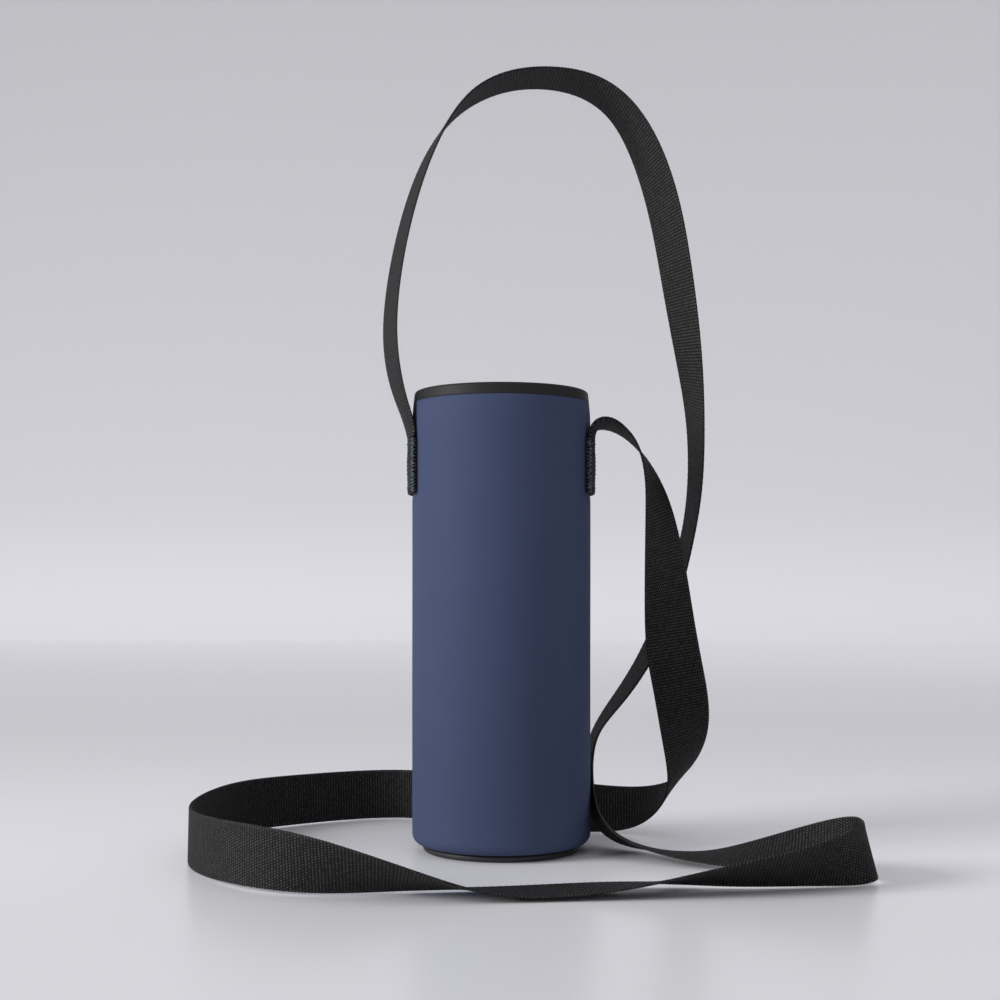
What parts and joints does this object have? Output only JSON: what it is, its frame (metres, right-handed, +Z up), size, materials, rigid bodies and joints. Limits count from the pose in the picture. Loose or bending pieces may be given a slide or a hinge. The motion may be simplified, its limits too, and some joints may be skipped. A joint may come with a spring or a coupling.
{
  "type": "bottle carrier",
  "caption": "Padded cylindrical bottle sleeve with a bound mouth and a long woven shoulder strap sewn to both sides.",
  "frame": {"origin": "centre of the base, on the surface that the sleeve stands on", "axes": "+Z up along the sleeve's axis, +X towards the right strap end, -Y towards the front as pictured"},
  "size_m": [0.2928, 0.2159, 0.3571],
  "materials": {
    "outer_cloth": "matte knitted face on foam",
    "foam": "closed-cell foam, hidden between the cloths",
    "lining_cloth": "matte knitted lining",
    "binding_tape": "folded elastic binding",
    "outsole": "matte",
    "webbing": "flat woven webbing"
  },
  "bodies": {
    "root": {"outer_fabric": "outer_cloth", "foam_wall": "foam", "lining": "lining_cloth", "rim_binding": "binding_tape", "outsole": "outsole", "base_foam": "foam", "base_lining": "lining_cloth", "back_seam": "outer_cloth", "strap_end_left": "webbing", "strap_end_right": "webbing", "shoulder_strap": "webbing"}
  },
  "joints": []
}
